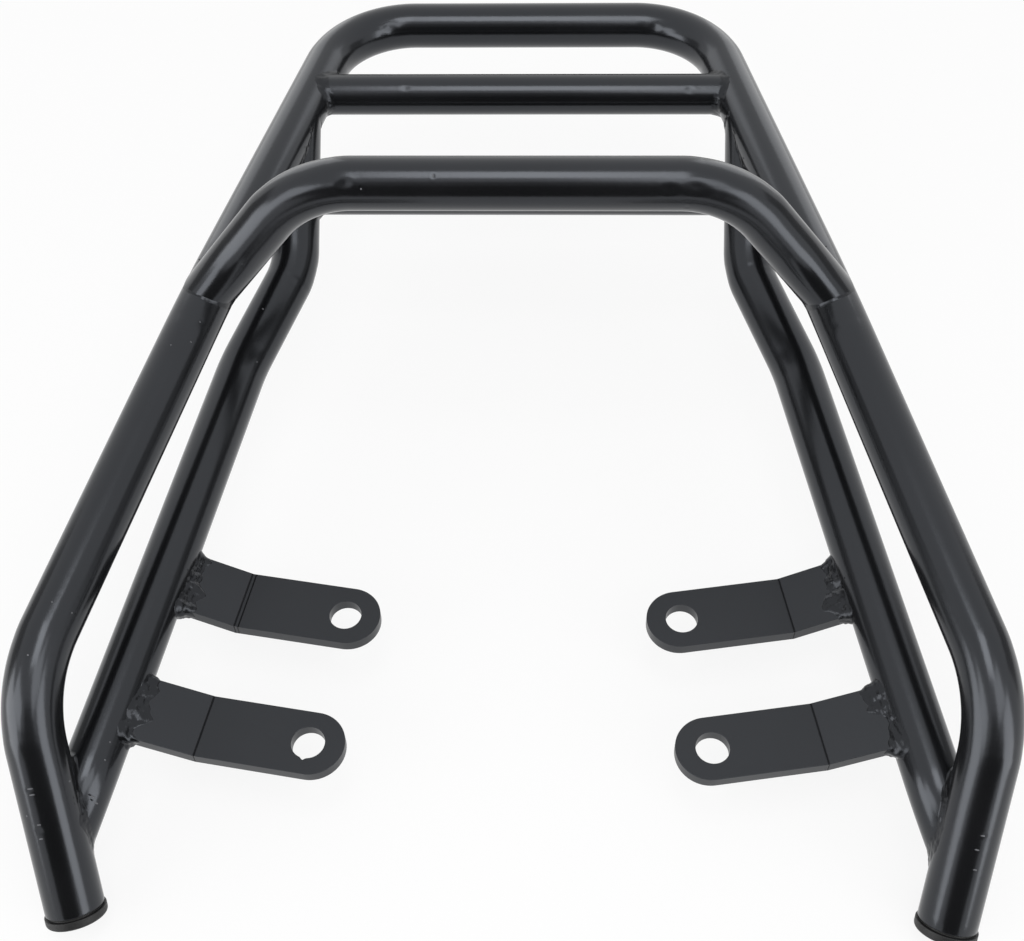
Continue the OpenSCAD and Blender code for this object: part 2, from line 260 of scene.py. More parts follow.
# Dust nibs and ticks in the coat, too small for a dent, as small lumps coloured light grey, partly as a
# painted highlight: pixel, and half the length across the tube
SPECKS = {
    "bend_left_upper": ((52, 602), 0.4),
    "bend_left_inner": ((72, 613), 0.4),
    "bend_left_outer": ((28, 655), 0.5),
    "foot_left_nib": ((27, 816), 0.4),
    "foot_left_tick_1": ((30, 789), 1.3),
    "foot_left_tick_2": ((32, 795), 1.3),
    "foot_left_tick_3": ((39, 825), 0.9),
    "foot_left_tick_4": ((41, 839), 1.0),
    "foot_left_inner": ((70, 781), 0.7),
    "foot_right_tick_1": ((983, 836), 1.0),
    "foot_right_tick_2": ((977, 850), 1.0),
    "foot_right_tick_3": ((975, 870), 0.9),
    "stay_left_nib_1": ((110, 742), 0.4),
    "stay_left_nib_2": ((105, 760), 0.5),
    "stay_left_nib_3": ((263, 309), 0.6),
    "stay_left_nib_4": ((257, 362), 0.4),
    "stay_left_streak_1": ((93, 797), 1.4),
    "stay_left_streak_2": ((96, 803), 1.2),
    "hoop_left_nib_1": ((242, 264), 0.4),
    "hoop_left_nick": ((206, 299), 0.8),
    "rail_left_nib_1": ((200, 322), 0.4),
    "rail_left_nib_2": ((191, 342), 0.5),
    "rail_left_nib_3": ((171, 345), 0.4),
    "hoop_top_tick": ((433, 176), 0.8),
    "hoop_top_nib": ((361, 189), 0.5),
}
SPECK_THICK, SPECK_PROUD, SPECK_SINK = 0.4, 0.3, 0.05

# A mark lies on a tube if its place is this near to the tube's skin
ON_SKIN = 1.5


def place_on(route, radius, pixel):
    """Where a pixel's mark lies on a tube: its point, the centre line's nearest point, and how far along
    that is. None where the photograph shows another piece there."""
    p = seen_at(*pixel)
    if p is None:
        return None
    centre, s = route.near(p)
    if abs(np.linalg.norm(p - centre[0]) - radius) > ON_SKIN:
        return None
    return p, centre[0], float(s[0])


def marks_on(route, radius):
    """The dents that lie on one tube: centre, size, depth, stretch and place along the route."""
    found = []
    for pixel, size, depth, stretch in DIMPLES.values():
        place = place_on(route, radius, pixel)
        if place is not None:
            found.append((place[0], size, depth, stretch, place[2]))
    return found


def specks_on(route, radius):
    """The specks that lie on one tube, as the points and faces of small half-sunk lumps."""
    points, faces = [], []
    for pixel, half in SPECKS.values():
        place = place_on(route, radius, pixel)
        if place is None:
            continue
        p, centre, s = place
        out, ahead = unit(p - centre), route.at(s)[1]
        across = np.cross(out, ahead)
        ball = bmesh.new()
        bmesh.ops.create_icosphere(ball, subdivisions=2, radius=1.0)
        base, middle = len(points), centre + out * (radius - SPECK_SINK)
        for v in ball.verts:
            x, y, z = v.co
            points.append(middle + x * half * across + y * SPECK_THICK * ahead + z * SPECK_PROUD * out)
        faces += [tuple(base + v.index for v in f.verts) for f in ball.faces]
        ball.free()
    return points, faces


# Distances between the rings of a tube's skin: on straight lengths, in bends and at dents
RING_COARSE, RING_FINE, RING_FINEST = 5.0, 1.3, 0.7
BEND_MARGIN, DENT_MARGIN, SHORTEST_RING = 4.0, 2.2, 0.2


def ring_places(route, marks, start, end):
    """Distances along the route at which the skin has a ring of points: close at bends and dents."""
    places, s = [start], start
    while s < end:
        step = RING_COARSE
        for a, b in route.bends:
            if a - BEND_MARGIN < s + RING_COARSE and s < b + BEND_MARGIN:
                step = min(step, RING_FINE)
        for _, size, _, stretch, at in marks:
            if abs(s - at) < size * max(stretch, 1) * DENT_MARGIN + RING_COARSE:
                step = min(step, RING_FINEST)
        s += step
        places.append(min(s, end))
    if places[-1] - places[-2] < SHORTEST_RING:
        places.pop(-2)
    return places


def turning_frames(route, places):
    """A pair of directions across the tube at each place, carried along without twisting."""
    frames, across = [], None
    for s in places:
        _, ahead, _ = route.at(s)
        if across is None:
            across = np.cross(ahead, vec(0, 0, 1) if abs(ahead[2]) < 0.9 else vec(1, 0, 0))
        across = unit(across - (across @ ahead) * ahead)
        frames.append((across, np.cross(ahead, across)))
    return frames


# A tube's skin: how much a bend flattens it and how far that fades in, its slight wave, and its sides
BEND_FLATTEN, BEND_FADE = 0.22, 8.0
SKIN_WAVE, SKIN_WAVE_SCALE = 0.012, 0.045
SIDES = 120
# A dent's hollow, and the low rim round it as a share of its depth and a place in sizes of the dent
DENT_FALL = 1.6
RIM_SHARE, RIM_AT, RIM_FALL = 0.22, 1.5, 4
# A tube's end on its carrier: how deep it sinks, the longest cut, and the rows of points down to it
COPE_SINK = 0.35
LONGEST_CUT = 75.0
CUT_STEPS = 400
LEAST_STRAIGHT = 1.0
END_ROW_STEP, END_ROW_CROWD, FEWEST_END_ROWS = 1.5, 1.3, 6
MOST_SHAPING = 1.4


def shaping(t, height):
    """How strongly a foot is shaped at a height: in full at its end's plane, and not from height up."""
    return np.clip(1 - t / height, 0, MOST_SHAPING) ** 2


class Foot:
    """The shaped end of a branch tube: the lines of its skin, run down onto the tube that carries it.
    A flare spreads the end toward one direction, as (direction, amount, height where it starts). A
    drift leads the whole end that way. The lines may run on to a lowest height below the end's plane."""

    def __init__(self, route, radius, at_start, carrier, carrier_r, flare=None, drift=None, lowest=0.0):
        self.base, ahead, _ = route.at(0.0 if at_start else route.length)
        self.away = ahead if at_start else -ahead
        self.radius, self.carrier, self.carrier_r = radius, carrier, carrier_r
        self.flare, self.drift, self.lowest = flare, drift, lowest
        first = route.parts[0 if at_start else -1]
        self.reach = min(first[2] - first[1] - LEAST_STRAIGHT, LONGEST_CUT)

    def points(self, outs, t):
        """Points of the skin in the directions outs, at the heights t above the end's own plane."""
        p = self.base + self.radius * outs + t[..., None] * self.away
        if self.flare is not None:
            way, amount, height = self.flare
            p = p + (amount * np.maximum(outs @ way, 0) * shaping(t, height))[..., None] * way
        if self.drift is not None:
            way, amount, height = self.drift
            p = p + (amount * shaping(t, height))[..., None] * way
        return p

    def heights(self, outs, sink):
        """The height at which each line meets the carrier's skin, sunk a little into it."""
        steps = np.linspace(self.reach, self.lowest, CUT_STEPS)
        lines = np.broadcast_to(outs, (len(steps), *outs.shape))
        grid = self.points(lines, np.tile(steps[:, None], len(outs)))
        flat = grid.reshape(-1, 3)
        gap = np.linalg.norm(flat - self.carrier.near(flat)[0], axis=1).reshape(grid.shape[:2])
        gap -= self.carrier_r - sink
        hit = np.where((gap < 0).any(axis=0), (gap < 0).argmax(axis=0), len(steps) - 1)
        before = np.maximum(hit - 1, 0)
        line = np.arange(len(outs))
        g0, g1 = gap[before, line], gap[hit, line]
        share = np.where(g1 < 0, g0 / np.maximum(g0 - g1, 1e-9), 1.0)
        return steps[before] + share * (steps[hit] - steps[before])


def skinned(points, outs, inward, ahead, marks):
    """The skin's points, moved: flatter outside a bend, slightly wavy, and dented."""
    flat = points.reshape(-1, 3)
    wave = np.array([noise.noise(Vector(p)) for p in (flat * SKIN_WAVE_SCALE).tolist()])
    off = SKIN_WAVE * wave.reshape(points.shape[:2])
    facing = (outs * inward).sum(-1)
    off -= BEND_FLATTEN * np.maximum(-facing, 0) ** 3
    for centre, size, depth, stretch, _ in marks:
        gap = points - centre
        along = (gap * ahead).sum(-1)
        rest = np.sqrt(np.maximum((gap**2).sum(-1) - along**2, 0))
        far = np.hypot(along / stretch, rest) / size
        rim = RIM_SHARE * np.exp(-((far - RIM_AT) ** 2) * RIM_FALL)
        off -= depth * (np.exp(-far * far * DENT_FALL) - rim)
    return points + off[..., None] * outs


def tube_mesh(name, route, radius, feet):
    """A tube's skin, with a Foot for each end that stands on another tube, or None for an open end."""
    marks = marks_on(route, radius)
    reaches = [0.0 if foot is None else foot.reach for foot in feet]
    places = ring_places(route, marks, reaches[0], route.length - reaches[1])
    frames = turning_frames(route, places)
    turn = np.linspace(0, 2 * math.pi, SIDES, endpoint=False)[:, None]
    outs = np.array([np.cos(turn) * across + np.sin(turn) * up for across, up in frames])
    centres, ahead, inward = (np.array(v) for v in zip(*(route.at(s) for s in places)))
    fade = [max([0.0] + [min(s - a, b - s, BEND_FADE) / BEND_FADE for a, b in route.bends]) for s in places]
    inward = inward * np.array(fade)[:, None]
    rows = skinned(centres[:, None] + radius * outs, outs, inward[:, None], ahead[:, None], marks)
    blocks = [rows]
    for k, foot in enumerate(feet):
        end_outs = outs[0 if k == 0 else -1]
        if foot is None:
            base, way, _ = route.at(0.0 if k == 0 else route.length)
            block = open_end(base, way if k == 0 else -way, end_outs, radius)
        else:
            heights = foot.heights(end_outs, COPE_SINK)
            share = np.linspace(0, 1, max(int(foot.reach / END_ROW_STEP), FEWEST_END_ROWS))[:, None]
            t = heights + (foot.reach - heights) * share**END_ROW_CROWD
            spread = np.broadcast_to(end_outs, (*t.shape, 3))
            block = skinned(foot.points(spread, t), spread, np.zeros(3), foot.away, marks)
        if k == 0:
            blocks[-1] = blocks[-1][1:]
            blocks.insert(0, block)
        else:
            blocks[-1] = blocks[-1][:-1]
            blocks.append(block[::-1])
    return skin(name, np.concatenate(blocks), *specks_on(route, radius))


# An open end: the outer rim's rounding, the bore's depth, and the inner rim as (wider, deeper) steps
RIM_ROUND, RIM_STEPS = 0.5, 4
BORE_DEPTH = 26.0
INNER_RIM = [(0.0, 0.35), (0.15, 0.08), (0.4, 0.0)]


def open_end(base, into, outs, radius):
    """Rows of an open end: a closed bore, the cut wall and its rounded outer rim."""
    bore = radius - TUBE_WALL
    profile = [(bore * 0.5, BORE_DEPTH), (bore, BORE_DEPTH)]
    profile += [(bore + wider, deeper) for wider, deeper in INNER_RIM]
    for k in range(RIM_STEPS + 1):
        a = math.pi / 2 * k / RIM_STEPS
        profile.append((radius - RIM_ROUND + RIM_ROUND * math.sin(a), RIM_ROUND - RIM_ROUND * math.cos(a)))
    return np.array([base + into * depth + r * outs for r, depth in profile])


def skin(name, rows, more_points, more_faces):
    """A closed mesh from rows of points round a tube, with a fan at each end, and small lumps on it."""
    count, sides = rows.shape[:2]
    points = rows.reshape(-1, 3) * MM
    j, i = np.meshgrid(np.arange(count - 1) * sides, np.arange(sides), indexing="ij")
    k = (i + 1) % sides
    faces = np.stack([j + i, j + k, j + sides + k, j + sides + i], axis=-1).reshape(-1, 4).tolist()
    hubs = rows[[0, -1]].mean(axis=1) * MM
    for row, hub in ((0, len(points)), (count - 1, len(points) + 1)):
        for i in range(sides):
            a, b = row * sides + i, row * sides + (i + 1) % sides
            faces.append((hub, b, a) if row == 0 else (hub, a, b))
    base = len(points) + 2
    faces += [tuple(base + i for i in face) for face in more_faces]
    lumps = np.array(more_points).reshape(-1, 3) * MM
    obj = mesh_object(name, np.concatenate([points, hubs, lumps]), faces)
    # Marks the small lumps, which the coat colours light grey as dust and as a painted highlight
    store = obj.data.attributes.new("lump", "FLOAT", "POINT")
    store.data.foreach_set("value", [0.0] * base + [1.0] * len(lumps))
    return obj


def mesh_object(name, points, faces):
    """A smooth-shaded object from points in metres and faces, which are turned to look outward."""
    mesh = bpy.data.meshes.new(name)
    mesh.from_pydata([tuple(p) for p in points], [], faces)
    mesh.validate()
    work = bmesh.new()
    work.from_mesh(mesh)
    bmesh.ops.recalc_face_normals(work, faces=work.faces)
    work.to_mesh(mesh)
    work.free()
    obj = bpy.data.objects.new(name, mesh)
    bpy.context.scene.collection.objects.link(obj)
    mesh.polygons.foreach_set("use_smooth", [True] * len(mesh.polygons))
    return obj


def dress(obj, material, slot, *nodes):
    """Gives a finished piece its material and its place in the frame."""
    obj.data.materials.clear()
    obj.data.materials.append(material)
    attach(obj, "root")
    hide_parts(*nodes)


# Materials


class Shader:
    """A short way to build a node material."""

    def __init__(self, name):
        self.material = bpy.data.materials.new(name)
        self.material.use_nodes = True
        self.nodes = self.material.node_tree.nodes
        self.links = self.material.node_tree.links
        self.bsdf = self.nodes["Principled BSDF"]
        self.place = self.add("ShaderNodeTexCoord").outputs["Object"]

    def add(self, kind, **settings):
        node = self.nodes.new(kind)
        for key, value in settings.items():
            setattr(node, key, value)
        return node

    def noise(self, scale, detail, roughness=0.5):
        node = self.add("ShaderNodeTexNoise")
        node.inputs["Scale"].default_value = scale
        node.inputs["Detail"].default_value = detail
        node.inputs["Roughness"].default_value = roughness
        self.links.new(self.place, node.inputs["Vector"])
        return node.outputs["Fac"]

    def cells(self, scale):
        node = self.add("ShaderNodeTexVoronoi")
        node.inputs["Scale"].default_value = scale
        self.links.new(self.place, node.inputs["Vector"])
        return node

    def ramp(self, source, low, high, to_low=0.0, to_high=1.0):
        node = self.add("ShaderNodeMapRange", interpolation_type="SMOOTHSTEP")
        node.inputs["From Min"].default_value = low
        node.inputs["From Max"].default_value = high
        node.inputs["To Min"].default_value = to_low
        node.inputs["To Max"].default_value = to_high
        self.links.new(source, node.inputs["Value"])
        return node.outputs["Result"]

    def math(self, operation, a, b):
        node = self.add("ShaderNodeMath", operation=operation)
        for socket, value in zip(node.inputs, (a, b)):
            if isinstance(value, (int, float)):
                socket.default_value = value
            else:
                self.links.new(value, socket)
        return node.outputs["Value"]

    def blend(self, share, a, b):
        node = self.add("ShaderNodeMix", data_type="RGBA")
        self.links.new(share, node.inputs["Factor"])
        for name, value in (("A", a), ("B", b)):
            socket = next(s for s in node.inputs if s.name == name and s.type == "RGBA")
            if isinstance(value, tuple):
                socket.default_value = (*value, 1)
            else:
                self.links.new(value, socket)
        return next(s for s in node.outputs if s.type == "RGBA")

    def bump(self, height, distance, strength, under=None):
        node = self.add("ShaderNodeBump")
        node.inputs["Strength"].default_value = strength
        node.inputs["Distance"].default_value = distance
        self.links.new(height, node.inputs["Height"])
        if under is not None:
            self.links.new(under, node.inputs["Normal"])
        return node.outputs["Normal"]

    def link(self, source, socket):
        self.links.new(source, self.bsdf.inputs[socket])


COAT_IOR, PLASTIC_IOR = 1.54, 1.46
COOL_TINT = (0.86, 0.91, 1.0, 1)
COAT_DARK, COAT_LIGHT = (0.0040, 0.0041, 0.0045), (0.0056, 0.0057, 0.0062)
PLASTIC_DARK, PLASTIC_LIGHT = (0.006, 0.006, 0.0063), (0.012, 0.012, 0.0124)
# Colour of dust nibs and specks: light grey, partly the dust's own colour and partly a painted highlight on
# each
DUST_AND_GLINT_COLOUR = (0.085, 0.085, 0.09)
# Heights of bumps, in metres
PEEL, FINE_PEEL, NIB, PINHOLE = 0.00004, 0.00001, 0.00018, 0.00015
FOLD, WELD_GRIT, GRAIN = 0.00022, 0.00012, 0.00012
# A fold line's half width in millimetres, at its core and at its edge, and the gloss beside it and on it
FOLD_CORE, FOLD_EDGE = 0.1, 0.55
FOLD_GLOSS = (0.47, 0.12)


def powder_coat(name, peel=1.0, rough=(0.17, 0.22), lumps=0.0, lines=(), gloss=0.5):
    """Semi-gloss black powder coat: orange peel, a few dust nibs and pinholes, and faint haze. The nibs and
    the specks' lumps are light grey, partly dust and partly a painted highlight. lumps adds the grit of a
    coated weld, and lines names the stored distances whose zero is a fold line."""
    m = Shader(name)
    m.bsdf.inputs["IOR"].default_value = COAT_IOR
    m.bsdf.inputs["Specular IOR Level"].default_value = gloss
    m.bsdf.inputs["Specular Tint"].default_value = COOL_TINT
    m.bsdf.inputs["Metallic"].default_value = 0.0
    haze = m.noise(9.0, 4.0, 0.6)
    dust = m.cells(95.0)
    picked = m.math("GREATER_THAN", dust.outputs["Color"], 0.93)
    nib = m.math("MULTIPLY", m.ramp(dust.outputs["Distance"], 0.0, 0.055, 1.0, 0.0), picked)
    deep = m.cells(130.0)
    pit_picked = m.math("GREATER_THAN", deep.outputs["Color"], 0.94)
    pit = m.math("MULTIPLY", m.ramp(deep.outputs["Distance"], 0.0, 0.06, 1.0, 0.0), pit_picked)
    shade = m.blend(m.ramp(haze, 0.35, 0.7), COAT_DARK, COAT_LIGHT)
    lump = m.add("ShaderNodeAttribute", attribute_name="lump").outputs["Fac"]
    # Nibs and speck lumps take the light grey: dust, and a painted highlight on each tiny lump
    m.link(m.blend(m.math("MAXIMUM", nib, lump), shade, DUST_AND_GLINT_COLOUR), "Base Color")
    m.link(m.ramp(haze, 0.3, 0.72, rough[0], rough[1]), "Roughness")
    peel_out = m.bump(m.noise(420.0, 2.0, 0.45), PEEL * peel, 0.5)
    fine_out = m.bump(m.noise(1500.0, 1.0), FINE_PEEL, 0.5, peel_out)
    nib_out = m.bump(nib, NIB, 1.0, fine_out)
    last = m.bump(m.math("SUBTRACT", 1.0, pit), PINHOLE, 1.0, nib_out)
    if lumps:
        last = m.bump(m.noise(900.0, 3.0, 0.6), WELD_GRIT * lumps, 0.8, last)
    if lines:
        folds = None
        for attribute in lines:
            source = m.add("ShaderNodeAttribute", attribute_name=attribute).outputs["Fac"]
            fold = m.ramp(m.math("ABSOLUTE", source, 0.0), FOLD_CORE, FOLD_EDGE, 1.0, 0.0)
            folds = fold if folds is None else m.math("MAXIMUM", folds, fold)
        last = m.bump(m.math("SUBTRACT", 1.0, folds), FOLD, 1.0, last)
        m.link(m.ramp(folds, 0.3, 1.0, *FOLD_GLOSS), "Specular IOR Level")
    m.link(last, "Normal")
    return m.material


def plug_plastic():
    """Matte black moulded plastic with a fine spark texture."""
    m = Shader("plug_plastic_look")
    m.bsdf.inputs["IOR"].default_value = PLASTIC_IOR
    grain = m.noise(2600.0, 3.0, 0.65)
    cloud = m.noise(60.0, 3.0)
    m.link(m.blend(m.ramp(cloud, 0.3, 0.7), PLASTIC_DARK, PLASTIC_LIGHT), "Base Color")
    m.link(m.ramp(grain, 0.3, 0.7, 0.42, 0.6), "Roughness")
    m.link(m.bump(grain, GRAIN, 0.8), "Normal")
    return m.material


COAT = powder_coat("powder_coat_look")
TAB_COAT = powder_coat("powder_coat_flat_look", 0.7, (0.31, 0.39), 0.0, ("bend_mm", "second_mm"))
WELD_COAT = powder_coat("coated_weld_look", 1.6, (0.17, 0.24), 0.6, (), 0.36)
PLASTIC = plug_plastic()

# Tubes

# Amount, and the height where it starts
HOOP_FLARE, STAY_DRIFT = (13.0, 36.0), (9.0, 30.0)
# How far a stay's lines may run on below its end's plane
STAY_RUN_ON = -10.0

feet = {}
for side in SIDE_NAMES:
    forward, under = unit(vec(side * 0.35, -0.94, 0)), unit(vec(side * 0.33, 0.35, -0.87))
    feet["hoop", side] = Foot(hoop, TUBE_R, side == RIGHT, rail, TUBE_R, (forward, *HOOP_FLARE))
    feet["rear", side] = Foot(rear_bar, CROSSBAR_R, side == LEFT, rail, TUBE_R)
    feet["lower", side] = Foot(lower_bar, CROSSBAR_R, side == LEFT, stays[side], TUBE_R)
    drift = (under, *STAY_DRIFT)
    feet["stay_foot", side] = Foot(stays[side], TUBE_R, True, rail, TUBE_R, None, drift, STAY_RUN_ON)
    feet["stay_top", side] = Foot(stays[side], TUBE_R, False, rail, TUBE_R)

dress(tube_mesh("rail_tube", rail, TUBE_R, (None, None)), COAT, "powder_coat", "main_rail")
hoop_feet = (feet["hoop", RIGHT], feet["hoop", LEFT])
dress(tube_mesh("hoop_tube", hoop, TUBE_R, hoop_feet), COAT, "powder_coat", "front_hoop")
for side, name in SIDE_NAMES.items():
    stay_feet = (feet["stay_foot", side], feet["stay_top", side])
    piece = tube_mesh(f"{name}_stay_tube", stays[side], TUBE_R, stay_feet)
    dress(piece, COAT, "powder_coat", f"{name}_stay")
for bar, route in (("rear", rear_bar), ("lower", lower_bar)):
    bar_feet = (feet[bar, LEFT], feet[bar, RIGHT])
    piece = tube_mesh(f"{bar}_crossbar_tube", route, CROSSBAR_R, bar_feet)
    dress(piece, COAT, "powder_coat", f"{bar}_crossbar")


# Weld beads

# A bead's mesh: the step along its seam, the rows across it, and how deep its back and toes sink
BEAD_STEP, BEAD_ROWS = 0.6, 15
BEAD_SINK, TOE_SINK, SEAM_SINK = 0.9, 0.12, 0.05
SEAM_TURNS = 360
# Its edges: the slow and quick waves' lengths up the branch and out on the carrier, and their shares
WAVES_UP, WAVES_OUT, WAVE_SHARES = (16, 6), (13, 4.5), (1.1, 0.8)
NARROWEST = 0.7
# Its lumps: share of the bead's lumpiness, waves per millimetre, and step of the seed
LUMPS = ((1.0, 0.17, 0), (0.55, 0.42, 5), (0.3, 1.1, 9), (0.12, 2.6, 13))
# How far lumps lean out of the corner, how they fade to the toes, and the strands across a bead
LUMP_LEAN, LUMP_FADE, STRANDS_ACROSS = 0.6, 0.7, 2.4
SPOT_RADII, SPOT_SINK = (0.25, 0.6), 0.1


def cumulative(loop):
    """How far along a closed line each of its points is, and its whole length."""
    steps = np.linalg.norm(np.roll(loop, -1, axis=0) - loop, axis=1)
    return np.concatenate([[0], np.cumsum(steps)[:-1]]), steps.sum()


def tube_seam(foot):
    """The closed line where a branch tube meets its carrier, in even steps: the seam, the branch's
    outward directions, and a way up the branch's skin."""
    across = unit(np.cross(foot.away, vec(0, 0, 1)))
    up = np.cross(foot.away, across)

    def directions(turn):
        return np.cos(turn)[:, None] * across + np.sin(turn)[:, None] * up

    turn = np.linspace(0, 2 * math.pi, SEAM_TURNS, endpoint=False)
    outs = directions(turn)
    first = foot.points(outs, foot.heights(outs, SEAM_SINK))
    far, total = cumulative(first)
    even = np.linspace(0, total, int(total / BEAD_STEP), endpoint=False)
    outs = directions(np.interp(even, np.append(far, total), np.append(turn, 2 * math.pi)))
    heights = foot.heights(outs, SEAM_SINK)
    return foot.points(outs, heights), outs, lambda w: foot.points(outs, heights + w)


def ring_noise(count, waves, seed):
    """Smooth random values round a closed line, with about so many waves in all."""
    turns = [2 * math.pi * i / count for i in range(count)]
    reach = waves / 5.0
    places = [Vector((math.cos(a) * reach, math.sin(a) * reach, 7.3 * seed)) for a in turns]
    return np.array([noise.noise(place) for place in places])


def field(points, scale, seed):
    """Smooth random values in space."""
    shift = np.array([1.7, 3.1, 5.3]) * seed
    places = (points * scale + shift).reshape(-1, 3).tolist()
    return np.array([noise.noise(Vector(p)) for p in places]).reshape(points.shape[:-1])


def edge_waves(count, total, lengths, seed):
    """The slow and the quick waves along one edge of a bead."""
    slow, quick = lengths
    return ring_noise(count, total / slow, seed), ring_noise(count, total / quick, seed + 1)


def wavy(width, ragged, slow, quick):
    """A bead's width along its seam, from its mean width and its waves."""
    slow_share, quick_share = WAVE_SHARES
    return np.maximum(width * (1 + ragged * (slow_share * slow + quick_share * quick)), NARROWEST)


def bead_mesh(seam, n_b, climb, carrier, look, seed, heavy=None):
    """A bead along a closed seam. look holds its height up the branch, its width on the carrier, how full,
    ragged and lumpy it is, and how strong its lengthwise strands are. heavy is a side where the bead is
    larger, as (direction, share added)."""
    high, wide, full, ragged, lumpy, strands = look
    more = 1.0 if heavy is None else 1 + heavy[1] * np.maximum(n_b @ heavy[0], 0) ** 2
    count = len(seam)
    total = cumulative(seam)[1]
    ahead = np.roll(seam, -1, axis=0) - np.roll(seam, 1, axis=0)
    ahead /= np.linalg.norm(ahead, axis=1)[:, None]
    centre = carrier.near(seam)[0]
    n_c = (seam - centre) / np.linalg.norm(seam - centre, axis=1)[:, None]
    out_c = np.cross(ahead, n_c)
    out_c *= np.sign((out_c * n_b).sum(1))[:, None]
    out_c /= np.maximum(np.linalg.norm(out_c, axis=1), 1e-6)[:, None]
    slow, quick = edge_waves(count, total, WAVES_UP, seed)
    w_b = more * wavy(high, ragged, slow, quick)
    w_c = more * wavy(wide, ragged, *edge_waves(count, total, WAVES_OUT, seed + 2))
    toe_b = climb(w_b) - TOE_SINK * n_b
    spread = seam + w_c[:, None] * out_c
    on = carrier.near(spread)[0]
    toe_n = (spread - on) / np.linalg.norm(spread - on, axis=1)[:, None]
    toe_c = on + toe_n * (TUBE_R - TOE_SINK)
    up_b = (toe_b - seam) / np.linalg.norm(toe_b - seam, axis=1)[:, None]
    corner = seam + full * (w_b[:, None] * up_b + w_c[:, None] * out_c)
    rise = up_b + out_c + LUMP_LEAN * (n_b + n_c)
    rise /= np.linalg.norm(rise, axis=1)[:, None]
    v = np.linspace(0, 1, BEAD_ROWS)[None, :, None]
    skin_rows = (1 - v) ** 2 * toe_c[:, None] + 2 * v * (1 - v) * corner[:, None] + v * v * toe_b[:, None]
    hump = np.sin(math.pi * v[..., 0]) ** LUMP_FADE
    lift = sum(share * lumpy * field(skin_rows, scale, seed + step) for share, scale, step in LUMPS)
    meander = slow[:, None] * 1.5 + quick[:, None] * 0.6
    lift = lift + strands * (0.5 + 0.5 * np.cos(2 * math.pi * (v[..., 0] * STRANDS_ACROSS + meander)))
    skin_rows = skin_rows + (lift * hump)[..., None] * rise[:, None]
    under_seam = seam - BEAD_SINK * (n_b + n_c) * 0.7
    back = np.stack([toe_b - BEAD_SINK * n_b, under_seam, toe_c - BEAD_SINK * toe_n], axis=1)
    rows = np.concatenate([skin_rows, back], axis=1)
    wide_count = rows.shape[1]
    i, k = np.meshgrid(np.arange(count), np.arange(wide_count), indexing="ij")
    j, m = (i + 1) % count, (k + 1) % wide_count
    here, beyond = i * wide_count, j * wide_count
    faces = np.stack([here + k, beyond + k, beyond + m, here + m], axis=-1)
    return list(rows.reshape(-1, 3) * MM), faces.reshape(-1, 4).tolist()


def spatter(points, faces, spots):
    """Small balls of weld metal, half sunk in the surface, added to a bead's mesh."""
    for centre, radius in spots:
        ball = bmesh.new()
        bmesh.ops.create_icosphere(ball, subdivisions=2, radius=radius * MM)
        base = len(points)
        points += [np.array(v.co) + centre * MM for v in ball.verts]
        faces += [tuple(base + v.index for v in f.verts) for f in ball.faces]
        ball.free()


def onto(route, p, radius):
    """A point moved onto a tube's skin, sunk a little."""
    centre = route.near(p)[0][0]
    return centre + unit(p - centre) * (radius - SPOT_SINK)


def seam_spots(seam, route, spread, count):
    """Random places near a seam, on the tube that carries it."""
    spots = []
    for _ in range(count):
        p = seam[rng.randrange(len(seam))] + vec(*(rng.gauss(0, spread) for _ in range(3)))
        spots.append((onto(route, p, TUBE_R), rng.uniform(*SPOT_RADII)))
    return spots


# Height up the branch, width on the carrier, fullness, raggedness, lumps and strands
LOOKS = {
    "hoop": ("weld_hoop", (0.9, 0.9, 0.2, 0.35, 0.15, 0.0)),
    "rear": ("weld_rear_crossbar", (5.5, 4.5, 0.06, 0.55, 0.45, 0.0)),
    "lower": ("weld_lower_crossbar", (4.5, 4.0, 0.2, 0.5, 0.6, 0.1)),
    "stay_foot": ("weld_stay_foot", (5.0, 4.5, 0.12, 0.4, 0.5, 0.1)),
    "stay_top": ("weld_stay_top", (4.0, 4.0, 0.2, 0.5, 0.7, 0.15)),
}

# How far spatter spreads from the seam, and how many balls of it there are
SPOTS = {
    "hoop": (4.0, 4),
    "rear": (1.8, 22),
    "lower": (3.0, 8),
    "stay_foot": (2.5, 12),
    "stay_top": (3.0, 8),
}
# The share by which the hoop's beads are larger on their inner side
HOOP_INNER_SIDE = 6.0

seed = 1
for kind, (node, look) in LOOKS.items():
    for side, name in SIDE_NAMES.items():
        seed += 4
        foot = feet[kind, side]
        seam, outs, climb = tube_seam(foot)
        heavy = (vec(-side, 0, 0), HOOP_INNER_SIDE) if kind == "hoop" else None
        points, faces = bead_mesh(seam, outs, climb, foot.carrier, look, seed, heavy)
        spatter(points, faces, seam_spots(seam, foot.carrier, *SPOTS[kind]))
        piece = mesh_object(f"{kind}_bead_{name}", points, faces)
        dress(piece, WELD_COAT, "coated_weld", f"{node}_{name}")


# Tabs


def tab_frame(side, hole, flat, lift):
    """Where a tab bends and roots: the bend's middle, the swept direction and the root on the stay."""
    sweep = vec(math.cos(TAB_SWEEP), math.sin(TAB_SWEEP), 0)
    bend = vec(hole[0], hole[1], TAB_T / 2) + flat * sweep
    run = vec(*STAY_IN) - stay_foot
    gap = stay_foot - bend
    far = (gap[0] * run[1] - gap[1] * run[0]) / (sweep[0] * run[1] - sweep[1] * run[0])
    root = bend + far * sweep
    root[2] = (stay_foot + run * (root[1] - stay_foot[1]) / run[1])[2] + lift
    return mirrored(side, bend), mirrored(side, root)


EDGE_ROUND, PLUG_EDGE_ROUND = 0.4, 0.25
SAME_POINT = 2e-6
FLAT_ANGLE, EDGE_ANGLE = math.radians(1.0), math.radians(9)


